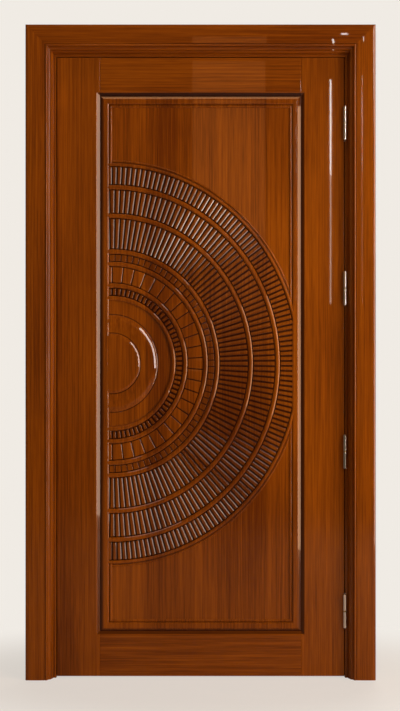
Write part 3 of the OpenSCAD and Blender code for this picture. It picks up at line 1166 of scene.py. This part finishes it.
    def build(self) -> bpy.types.Object:
        """Builds the whole panel.

        Returns:
            The piece.
        """
        self._base()
        for sign in (-1, 1):
            self._bead(sign)
        self._boss()
        for ring, start in zip(self.rings, self.bands):
            self._band(start)
            self._ring(ring, start + self.band)
        self._rim(self.bands[-1])
        material = self.wood.material("carved_panel", Grain.UPRIGHT, self.seed, boards=self.boards)
        nodes = ["carved_panel"]
        return self.work.piece("carved_panel_wood", material, "leaf", "panel_wood", nodes, sharp=50.0)

    def _loop(self, inset: float, y: float) -> Array:
        """Rectangle inside the panel opening.

        Args:
            inset: Distance from the opening's edge.
            y: Depth of the rectangle.

        Returns:
            Its four corners.
        """
        x = self.sizes.open_x - inset
        low, high = self.sizes.open_z[0] + inset, self.sizes.open_z[1] - inset
        return np.array([[-x, y, low], [x, y, low], [x, y, high], [-x, y, high]])

    def _base(self) -> None:
        """Adds the field, the margin, the splayed edge, the tongue and the back, side by side."""
        front, back = self.sizes.leaf_y, self.sizes.leaf_y + self.thickness
        (splay, fall), (reach, tongue) = self.splay, self.tongue
        upper, lower = self.slot_y - tongue / 2, self.slot_y + tongue / 2
        top, foot = np.array([splay, front]), np.array([self.play, front + fall])
        flat = [top + (foot - top) * share for share in self.splay_flat]
        line = eased(np.array([
            [self.wall, self.field_y], [self.wall - self.foot, front + self.bevel], [self.margin, front],
            top, *flat, foot, [self.play, upper], [-reach, upper],
            [-reach, lower], [self.play, lower], [self.play, back], [splay, back],
        ]), self.ease, closed=False)
        loops = np.stack([self._loop(*p) for p in line], axis=1)
        # Stain and painted shade, deeper down the splay and down the wall into the field.
        depths = line[:, 1] - front
        outside = (depths - self.splay_stain_and_shade[0]) / self.splay_stain_and_shade[1]
        inside = (depths - self.bevel) / self.depth
        stain_and_shade = np.where(line[:, 0] < splay, outside, inside)
        recess = np.broadcast_to(np.clip(stain_and_shade, 0, 1), (2, len(line)))
        for side, outwards in enumerate(((0, 0, -1), (1, 0, 0), (0, 0, 1), (-1, 0, 0))):
            self.work.grid(np.stack([loops[side], loops[(side + 1) % 4]]), towards=outwards, recess=recess)
        self.work.polygon(loops[:, 0], FRONT)
        self.work.polygon(loops[:, -1], (0, 1, 0))

    def _bead(self, sign: int) -> None:
        """Adds the bead round one end of the field, as far as the rim.

        Args:
            sign: 1 for the upper end and -1 for the lower one.
        """
        t = np.linspace(0, 1, 11)
        inset = self.wall + (self.sunk - self.wall) * t
        y = self.field_y - self.bead * np.sqrt(np.clip(1 - (2 * t - 1) ** 2, 0, 1))
        x = self.sizes.open_x - inset
        end_z = self.sizes.open_z[1] - inset if sign > 0 else self.sizes.open_z[0] + inset
        radius = self.bands[-1] + self.rim[0] / 2

        def stop(at: Array) -> Array:
            """Section at the X values given, where the bead meets the rim."""
            share = np.clip(1 - ((at - self.centre_x) / (self.squash * radius)) ** 2, 0, 1)
            return np.column_stack([at, y, self.centre_z + sign * radius * np.sqrt(share)])

        line = [stop(-x), np.column_stack([-x, y, end_z]), np.column_stack([x, y, end_z]), stop(x)]
        for run in zip(line, line[1:]):
            self.work.grid(np.stack(run, axis=1), towards=FRONT)

    def _darkening(self, heights: Array, dark_below: float) -> Array:
        """Stain and painted shade in the low places of the carving.

        Args:
            heights: Heights above the field.
            dark_below: Height below which stain and painted shade gather.

        Returns:
            The stain and painted shade, from 0 to 1.
        """
        return np.clip((dark_below - heights) / self.stain_and_shade, 0, 1)

    def _carved(
        self, angles: Array, radii: Array, heights: Array, recess: Array, shift: Array | float = 0.0
    ) -> None:
        """Adds a carved surface over the field, without what would pass through the margin.

        Args:
            angles: Angle of each point in radians.
            radii: Radius of each point.
            heights: Height of each point above the field.
            recess: Stain and painted shade of each point, from 0 to 1.
            shift: Shift of each point along X.
        """
        x = self.centre_x + self.squash * radii * np.cos(angles) + shift
        points = np.stack([x, self.field_y - heights, self.centre_z + radii * np.sin(angles)], axis=-1)
        keep = np.abs(x) < self.sizes.open_x - self.splay[0] - self.clear
        self.work.grid(points, towards=FRONT, recess=recess, keep=keep)

    def _turned(self, profile: Array, recess: Array, steps: int = 120) -> None:
        """Carries a section round the half turn and on to the closing margin.

        Args:
            profile: Points as radius and height.
            recess: Stain and painted shade of each point, from 0 to 1.
            steps: Stations round the half turn.
        """
        angles = np.radians(np.concatenate([[-90], np.linspace(-90, 90, steps), [90]]))
        shift = np.where((np.arange(steps + 2) % (steps + 1)) == 0, -self.run_on, 0.0)
        shape = (steps + 2, len(profile))
        parts = (angles[:, None], profile[:, 0], profile[:, 1], recess, shift[:, None])
        self._carved(*(np.broadcast_to(part, shape) for part in parts))

    def _boss(self) -> None:
        """Adds the boss of two tiers and the cove round it."""
        upper, lower = self.boss
        drop = self.crest / 2
        upper_r, lower_r = self.shoulder * drop, self.shoulder * self.crest
        upper_run = math.sqrt(upper_r ** 2 - (upper_r - drop) ** 2)
        lower_run = math.sqrt(lower_r ** 2 - (lower_r - self.crest + self.floor) ** 2)
        inner = self.dish[0] + np.array([upper, drop])
        outer = self.dish[1] + np.array([lower - lower_run, self.crest])
        profile = np.concatenate([
            np.linspace([self.crown[0], self.crest], [upper - upper_run - self.crown[1], self.crest], 6),
            self._shoulder(upper, upper_run, drop),
            self.upper_quirk + np.array([upper, drop]),
            np.linspace(inner, outer, 5),
            self._shoulder(lower, lower_run, self.crest - self.floor),
            self.lower_quirk + np.array([lower, self.floor]),
            self.cove + np.array([self.first_band, self.floor]),
        ])
        # Stain and painted shade in the quirks at the foot of each tier.
        middle, clear, full = self.quirk_line
        quirk_darkening = [softened(np.abs(profile[:, 0] - edge - middle), clear, full, 0.1) for edge in self.boss]
        self._turned(profile, np.maximum(*quirk_darkening))

    def _shoulder(self, edge: float, run: float, drop: float) -> Array:
        """Round shoulder of a tier with a facet in its middle.

        Args:
            edge: Outer radius of the tier.
            run: Width of the shoulder.
            drop: Fall of the shoulder from the crest.

        Returns:
            Points as radius and height.
        """
        share = np.linspace(0, 1, 18)
        first, last = self.facet_span
        tail = (1 - last) / 2
        end = (drop / run - (last - first / 2 + tail) * self.facet) / tail
        falls = np.interp(share, [0, first, last, 1], [0, self.facet, self.facet, end])
        depths = np.concatenate([[0], np.cumsum((falls[1:] + falls[:-1]) / 2)])
        return np.column_stack([edge - run * (1 - share), self.crest - drop * depths / depths[-1]])

    def _band(self, start: float) -> None:
        """Adds a band with bevelled edges.

        Args:
            start: Inner radius of the band.
        """
        slope = self.band_slope[0] - self.band_slope[1] * (start - self.first_band)
        run = np.array(self.band_bevel)
        bevel = np.column_stack([run, self.crest - slope * (run[-1] - run)])
        mirrored = bevel[::-1] * [-1, 1] + [self.band, 0]
        line = np.concatenate([[[0, self.seat]], bevel, mirrored, [[self.band, self.seat]]])
        profile = eased(line, self.ease, closed=False) + [start, 0]
        # Stain and painted shade towards the band's feet.
        self._turned(profile, self._darkening(profile[:, 1], self.crest - self.band_dark_depth))

    def _rim(self, start: float) -> None:
        """Adds the outermost band with the round bead outside it.

        Args:
            start: Inner radius of the band.
        """
        band, bead = self.rim
        low = self.crest - self.rim_fall
        line = eased(np.array([
            [0, self.seat], [0.4, low], [3.0, self.crest],
            [band - 3.6, self.crest], [band - 1.2, low], [band - 0.8, 0.3],
        ]), self.ease, closed=False)
        half = (bead - self.rim_gap) / 2
        foot = band + self.rim_gap
        round_bead = arc((0, 0), half, 180, 0, 9) * [1, self.rim_bead / half * 0.8] + [foot + half, 0.0]
        profile = np.concatenate([line, [[foot - 0.5, 0.2]], round_bead]) + [start, 0]
        # Stain and painted shade in the rim's low parts and in the gap to its bead.
        self._turned(profile, self._darkening(profile[:, 1], self.rim_dark_height), steps=150)

    def _ring(self, ring: Ring, start: float) -> None:
        """Adds a ring of bars, with rows and columns where its bevels start and end.

        Args:
            ring: Sizes of the ring.
            start: Inner radius of the ring.
        """
        half, shoulder = ring.groove / 2, ring.slot / 2
        beyond, about = np.array(self.slot_columns), np.array(self.edge_columns)
        aside = np.concatenate([[0.5 * shoulder], shoulder + beyond, half + about])
        offsets = np.concatenate([-aside[::-1], aside])
        ends = np.array(self.ends)
        flat = ends[-1] + self.guard
        radii = start + np.concatenate([ends, [flat, ring.width - flat], ring.width - ends[::-1]])
        last = math.ceil(ring.pieces / 2) + 2
        columns = []
        for k in range(-last, last):
            middle = (k + 0.5) * math.pi / ring.pieces
            speed = radii * math.sqrt((self.squash * math.sin(middle)) ** 2 + math.cos(middle) ** 2)
            columns.append(middle + offsets[:, None] / speed)
        angles = np.concatenate(columns)
        away = np.tile(np.abs(offsets), 2 * last)[:, None]
        from_end = np.minimum(radii - start, start + ring.width - radii)
        rise = softened(from_end, *self.end_bevel, 0.5)
        heights = self.gap + (ring.heights(away) - self.gap) * rise
        limit = math.pi / 2 + self.run_on / (self.squash * start)
        # Stain and painted shade in the grooves, and a slight darkening of the tops.
        recess = self._darkening(heights, ring.top + ring.tone)
        self._carved(np.clip(angles, -limit, limit), np.broadcast_to(radii, angles.shape), heights, recess)


@dataclass
class Hinge:
    """A lift-off hinge of two knuckles, two plates and a washer.

    Attributes:
        sizes: Sizes shared by the pieces.
        steel: Material of the leaves.
        brass: Material of the washer.
        pivot: Axis as X and Y.
        barrel: Radius of the barrel.
        bore: Radius of the bore for the pin.
        plate_y: Front and back edge of the plates.
        plate: Thickness of a plate.
        gap: Gap between the plates.
        washer: Radius and thickness of the washer.
        dome: Height of the domed ends.
        sunk: Depth of a plate's face behind its screw heads.
        web: Overlap of a knuckle's web with its plate.
        nick: Width and height of the bevel at a knuckle's inner end.
        ease: Rounding of a plate's corners.
        washer_ease: Rounding of the washer's edges.
        hair: Play at each side of the washer.
    """

    sizes: DoorSizes
    steel: bpy.types.Material
    brass: bpy.types.Material
    pivot: tuple[float, float] = (496.5, -35.0)
    barrel: float = 7.0
    bore: float = 4.05
    plate_y: tuple[float, float] = (-27.0, 2.5)
    plate: float = 2.5
    gap: float = 3.0
    washer: tuple[float, float] = (5.4, 2.0)
    dome: float = 3.5
    sunk: float = 0.15
    web: float = 2.0
    nick: tuple[float, float] = (2.2, 1.8)
    ease: float = 0.4
    washer_ease: float = 0.25
    hair: float = 0.05

    def build(self, number: int, z: float) -> None:
        """Builds both leaves and the washer of one hinge.

        Args:
            number: Number of the hinge.
            z: Height of its middle.
        """
        half = self.sizes.hinge_length / 2
        radius, height = self.washer
        start = height / 2 + self.hair
        web = (self.pivot[1], self.plate_y[0] + self.web)
        for name, body, side, up in (
            ("frame_leaf", "frame", Side.HINGE, -1), ("door_leaf", "leaf", Side.CLOSING, 1),
        ):
            work = Patchwork()
            self._knuckle(work, z, up, start, half)
            low, high = sorted((up * start, up * (half - self.dome)))
            self._slab(work, side, self.plate_y, z - half, z + half)
            self._slab(work, side, web, z + low, z + high)
            node = f"hinge_{number}_{name}"
            work.piece(node + "_steel", self.steel, body, "hinge_steel", [node])
        work = Patchwork()
        bore, low = self.bore + self.hair, z - start
        corners = [[bore, low], [radius, low], [radius, low + height], [bore, low + height]]
        line = eased(np.array(corners), self.washer_ease)
        self._turn(work, np.concatenate([line, line[:1]]))
        node = f"hinge_{number}_washer"
        work.piece(node + "_brass", self.brass, "frame", "washer_brass", [node])

    def _turn(self, work: Patchwork, line: Array, steps: int = 40) -> None:
        """Adds a surface of revolution about the pivot.

        Args:
            work: Surface that it goes to.
            line: Points as radius and height.
            steps: Stations round the turn.
        """
        angles = np.linspace(0, 2 * math.pi, steps, endpoint=False)[:, None]
        x = self.pivot[0] + line[:, 0] * np.cos(angles)
        y = self.pivot[1] + line[:, 0] * np.sin(angles)
        work.grid(np.stack([x, y, np.broadcast_to(line[:, 1], x.shape)], axis=-1), closed=True)

    def _knuckle(self, work: Patchwork, z: float, up: int, start: float, top: float) -> None:
        """Adds a knuckle with a domed outer end.

        Args:
            work: Surface that it goes to.
            z: Height of the hinge's middle.
            up: 1 for the upper knuckle and -1 for the lower one.
            start: Distance of its inner end from the middle.
            top: Distance of its outer end from the middle.
        """
        bow = (self.barrel ** 2 + self.dome ** 2) / (2 * self.dome)
        spread = math.degrees(math.asin(self.barrel / bow))
        cap = arc((0, top - bow), bow, 90 - spread, 89.5, 9)
        width, height = self.nick
        inner = [[self.bore, start], [self.barrel - width, start], [self.barrel, start + height]]
        line = np.concatenate([inner, cap])
        self._turn(work, np.column_stack([line[:, 0], z + up * line[:, 1]]))

    def _slab(self, work: Patchwork, side: Side, ys: tuple[float, float], low: float, high: float) -> None:
        """Adds a plate.

        Args:
            work: Surface that it goes to.
            side: Side of the pivot.
            ys: Front and back edge.
            low: Height of its lower end.
            high: Height of its upper end.
        """
        face = self.pivot[0] + side.value * (self.gap / 2 + self.sunk)
        back = self.pivot[0] + side.value * (self.gap / 2 + self.plate)
        line = eased(np.array([[face, ys[0]], [back, ys[0]], [back, ys[1]], [face, ys[1]]]), self.ease)
        work.sweep([np.column_stack([line, np.full(len(line), z)]) for z in (low, high)])


@dataclass
class Joinery:
    """CAD nodes that stay as they are, with a finish and, where they are wood, eased edges.

    Attributes:
        ease: Width of the eased edges in millimetres.
        weld: Distance in millimetres below which points are one.
        flat: Turn in degrees below which faces are one.
        sharp: Turn in degrees above which an edge is eased.
    """

    ease: float = 1.0
    weld: float = 0.01
    flat: float = 0.5
    sharp: float = 30.0

    def dress(self, node: str, material: bpy.types.Material) -> None:
        """Gives a node its material.

        Args:
            node: CAD node.
            material: Its material.
        """
        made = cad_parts[node]
        made.data.materials.clear()
        made.data.materials.append(material)

    def ease_edges(self, node: str) -> None:
        """Rounds the sharp edges of a node with modifiers.

        Args:
            node: CAD node.
        """
        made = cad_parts[node]
        made.modifiers.new("weld", "WELD").merge_threshold = self.weld * MM
        flat = made.modifiers.new("flat", "DECIMATE")
        flat.decimate_type = "DISSOLVE"
        flat.angle_limit = math.radians(self.flat)
        bevel = made.modifiers.new("ease", "BEVEL")
        bevel.width = self.ease * MM
        bevel.segments = 2
        bevel.limit_method = "ANGLE"
        bevel.angle_limit = math.radians(self.sharp)
        made.modifiers.new("normals", "WEIGHTED_NORMAL").keep_sharp = True


@dataclass(frozen=True)
class Lamp:
    """A rectangular lamp that the camera doesn't see. Sizes are in metres.

    Attributes:
        name: Name of the lamp.
        at: Place of its middle.
        to: Point that it is aimed at.
        size: Width and height.
        power: Power in watts.
        colour: Colour of the light.
        spread: Angle of the light in degrees.
        roll: Turn about the aim in degrees.
    """

    name: str
    at: Point
    to: Point
    size: tuple[float, float]
    power: float
    colour: Colour
    spread: float = 180.0
    roll: float = 0.0

    def build(self) -> None:
        """Puts the lamp in the scene."""
        data = bpy.data.lights.new(self.name, "AREA")
        data.shape = "RECTANGLE"
        data.size, data.size_y = self.size
        data.energy = self.power
        data.color = self.colour
        data.spread = math.radians(self.spread)
        made = bpy.data.objects.new(self.name, data)
        made.location = self.at
        x, y, z = np.array(self.to) - np.array(self.at)
        turn = Matrix.Rotation(math.atan2(-x, y), 3, "Z")
        tilt = Matrix.Rotation(math.atan2(math.hypot(x, y), -z), 3, "X")
        roll = Matrix.Rotation(math.radians(self.roll), 3, "Z")
        made.rotation_euler = (turn @ tilt @ roll).to_euler()
        made.visible_camera = False
        bpy.context.scene.collection.objects.link(made)


@dataclass
class Studio:
    """Floor, lamps, background and camera. Sizes are in metres.

    Attributes:
        wall: Colour of the background.
        floor: Colour of the floor.
        reach: Half the floor's width.
        oval: Scale of the floor that makes its fading oval.
        fading: Distances at which the floor's fading starts and ends, and its share by the door.
        mirrored_y: Y beyond which the fading starts and is full in mirrors.
        soft: Colour of the light from all round.
        soft_strength: Strength of that light.
        distance: Distance of the camera from the origin along -Y.
        height: Height of the camera.
        offset: Place of the camera along X.
        lens: Focal length in millimetres.
        sensor: Width of the sensor in millimetres.
        shift: Shift of the picture.
        lamps: Lamps round the door.
    """

    wall: Colour = linear(240, 235, 228)
    floor: Colour = linear(226, 212, 200)
    reach: float = 40.0
    oval: Point = (0.6, 1.0, 1.0)
    fading: tuple[float, float, float] = (0.35, 1.0, 0.68)
    mirrored_y: tuple[float, float] = (0.2, 1.2)
    soft: Colour = (1.0, 0.8, 0.5)
    soft_strength: float = 0.11
    distance: float = 4.2085
    height: float = 0.968
    offset: float = 0.0138
    lens: float = 61.4
    sensor: float = 36.0
    shift: tuple[float, float] = (-0.0065, 0.0584)
    lamps: tuple[Lamp, ...] = (
        Lamp("side", (4.2, -3.4, 1.6), (0.0, -0.1, 1.3), (0.58, 4.0), 80, (1.0, 0.68, 0.48)),
        Lamp("edge", (3.45, -2.25, 1.75), (0.0, -0.2, 1.4), (0.3, 3.5), 34, (1.0, 0.85, 0.72)),
        Lamp("bevel", (3.45, -1.63, 1.4), (0.0, -0.1, 1.3), (0.26, 2.8), 28, (1.0, 0.58, 0.32)),
        Lamp("crown", (2.6, -2.05, 3.8), (0.0, 0.0, 1.0), (0.4, 1.3), 7, (1.0, 0.9, 0.8)),
        Lamp("low", (1.4, -0.97, 0.72), (0.0, 0.0, 1.45), (0.18, 0.84), 0.36, (1.0, 0.84, 0.7), spread=36),
        Lamp("top", (0.0, -0.75, 4.2), (0.0, -0.1, 2.0), (1.3, 0.4), 10, (1.0, 0.5, 0.22)),
        Lamp("fill", (-2.0, -4.0, 5.6), (0.0, 0.0, 1.0), (1.6, 1.6), 14, (1.0, 0.97, 0.94)),
        Lamp("arc_low", (2.94, -3.94, 1.65), (-0.2, 0.0, 1.15), (0.22, 1.6), 28, (1.0, 0.82, 0.7), roll=6),
        Lamp("arc_high", (2.32, -3.94, 3.25), (-0.2, 0, 1.15), (0.22, 1.9), 32, (1.0, 0.82, 0.7), roll=29),
        Lamp("back", (1.6, 4.5, 3.2), (0.0, 0.0, 1.1), (2.5, 2.5), 75, (1.0, 0.9, 0.8)),
        Lamp("strip_high", (0.757, -3, 2.56), (0.757, 0, 2.56), (0.0085, 0.56), 0.56, (1.0, 0.93, 0.84)),
        Lamp("strip_low", (0.757, -3.0, 1.9), (0.757, 0.0, 1.9), (0.0075, 0.76), 0.2, (1.0, 0.86, 0.7)),
        Lamp("spot", (0.83, -3.0, 3.09), (0.83, 0.0, 3.09), (0.035, 0.1), 0.28, (1.0, 0.93, 0.88)),
        Lamp("window", (0.157, -3.0, 2.2), (0.157, 0.0, 2.2), (0.43, 1.5), 3.3, (1.0, 0.34, 0.09)),
    )

    def build(self) -> None:
        """Builds the whole studio."""
        self._floor()
        self._world()
        self._camera()
        for lamp in self.lamps:
            lamp.build()

    def _floor(self) -> None:
        """Adds the floor, which keeps the shadow by the door and glows like the background far away."""
        mesh = bpy.data.meshes.new("floor")
        square = ((-1, -1), (1, -1), (1, 1), (-1, 1))
        mesh.from_pydata([(x * self.reach, y * self.reach, 0.0) for x, y in square], [], [[0, 1, 2, 3]])
        shader = Shader("floor", Roughness=0.55, Specular_IOR_Level=0.2)
        speckle = shader.noise(shader.place((9, 9, 9), (0, 0, 0)), detail=3)
        pale = tuple(c * 1.03 for c in self.floor)
        shader.feed(Base_Color=shader.mix(speckle.ramp(0.3, 0.7), self.floor, pale))
        oval = shader.place(self.oval, (0, 0, 0))
        far = shader.node("ShaderNodeVectorMath", {0: oval}, out="Value", operation="LENGTH")
        behind = shader.split(shader.own())[1].ramp(*self.mirrored_y)
        camera, mirrored = shader.rays()
        glow = shader.node("ShaderNodeEmission", {"Color": self.wall, "Strength": 1.0})
        share = far.ramp(*self.fading) * (camera + mirrored * behind)
        surface = Value(shader, shader.surface.outputs[0])
        blend = shader.node("ShaderNodeMixShader", {0: share, 1: surface, 2: glow})
        shader.set(shader.tree.nodes["Material Output"].inputs["Surface"], blend)
        mesh.materials.append(shader.material)
        made = bpy.data.objects.new("floor", mesh)
        bpy.context.scene.collection.objects.link(made)

    def _world(self) -> None:
        """Makes the background, pale to the camera and in mirrors behind the door, and soft elsewhere."""
        world = bpy.data.worlds.new("studio")
        world.use_nodes = True
        nodes = Nodes(world.node_tree)
        nodes.tree.nodes.remove(nodes.tree.nodes["Background"])
        camera, mirrored = nodes.rays()
        direction = nodes.node("ShaderNodeTexCoord", {}, out="Generated")
        behind = nodes.node("ShaderNodeMapRange", {0: nodes.split(direction)[1]})
        soft = nodes.node("ShaderNodeBackground", {"Color": self.soft, "Strength": self.soft_strength})
        pale = nodes.node("ShaderNodeBackground", {"Color": self.wall, "Strength": 1.0})
        blend = nodes.node("ShaderNodeMixShader", {0: mirrored * behind + camera, 1: soft, 2: pale})
        nodes.set(nodes.tree.nodes["World Output"].inputs["Surface"], blend)
        bpy.context.scene.world = world

    def _camera(self) -> None:
        """Adds the camera, level and square to the door."""
        data = bpy.data.cameras.new("camera")
        data.sensor_fit = "AUTO"
        data.sensor_width = self.sensor
        data.lens = self.lens
        data.shift_x, data.shift_y = self.shift
        data.clip_end = 100.0
        made = bpy.data.objects.new("camera", data)
        made.location = (self.offset, -self.distance, self.height)
        made.rotation_euler = (math.pi / 2, 0.0, 0.0)
        bpy.context.scene.collection.objects.link(made)
        bpy.context.scene.camera = made


def main() -> None:
    """Builds and dresses the door in order."""
    logging.basicConfig(level=logging.INFO, format="%(name)s: %(message)s")
    bpy.context.scene.view_settings.view_transform = "Standard"
    sizes = DoorSizes()
    wood = Lacquer()

    casing = Casing(sizes, sizes.rebate_x + sizes.reveal, sizes.rebate_z + sizes.reveal, wood)
    casing.build_side("hinge_side_casing", Side.HINGE, 1.1)
    casing.build_side("closing_side_casing", Side.CLOSING, 2.7)
    casing.build_head("head_casing", 3.9)
    post = Post(sizes, sizes.rebate_x, sizes.rebate_z, wood)
    post.build_hinged("hinge_jamb", 5.3)
    post.build_side("closing_jamb", Side.CLOSING, 6.1)
    post.build_head("frame_head", 7.7)
    LOG.info("frame built")

    joinery = Joinery()
    border = Border(sizes.leaf_y, sizes.open_x, *sizes.open_z)
    # Painted shade: the slopes that face away from the lamps, on the hinge stile and the top rail, are
    # darkened more than those facing the light.
    for node, grain, seed, stain_and_shade in (
        ("hinge_stile", Grain.UPRIGHT, 8.3, 0.8),
        ("closing_stile", Grain.UPRIGHT, 10.2, 0.6),
        ("top_rail", Grain.LEVEL, 12.1, 0.97),
        ("bottom_rail", Grain.LEVEL, 14.0, 0.6),
    ):
        joinery.dress(node, wood.material(node, grain, seed, border, stain_and_shade))
        joinery.ease_edges(node)
    CarvedPanel(sizes, wood).build()
    LOG.info("leaf built")

    steel = BrightMetal(linear(222, 222, 220), 0.12).material("hinge_steel")
    zinc = BrightMetal(linear(200, 202, 205), 0.35).material("screw_steel")
    brass = BrightMetal(linear(202, 170, 100), 0.3).material("washer_brass")
    hinge = Hinge(sizes, steel, brass)
    for number, z in enumerate(sizes.hinge_zs, start=1):
        hinge.build(number, z)
        joinery.dress(f"hinge_{number}_pin", steel)
    for node in ("frame_corner_screws", "frame_hinge_screws", "door_hinge_screws"):
        joinery.dress(node, zinc)
    LOG.info("hinges built")

    Studio().build()


if __name__ == "__main__":
    main()
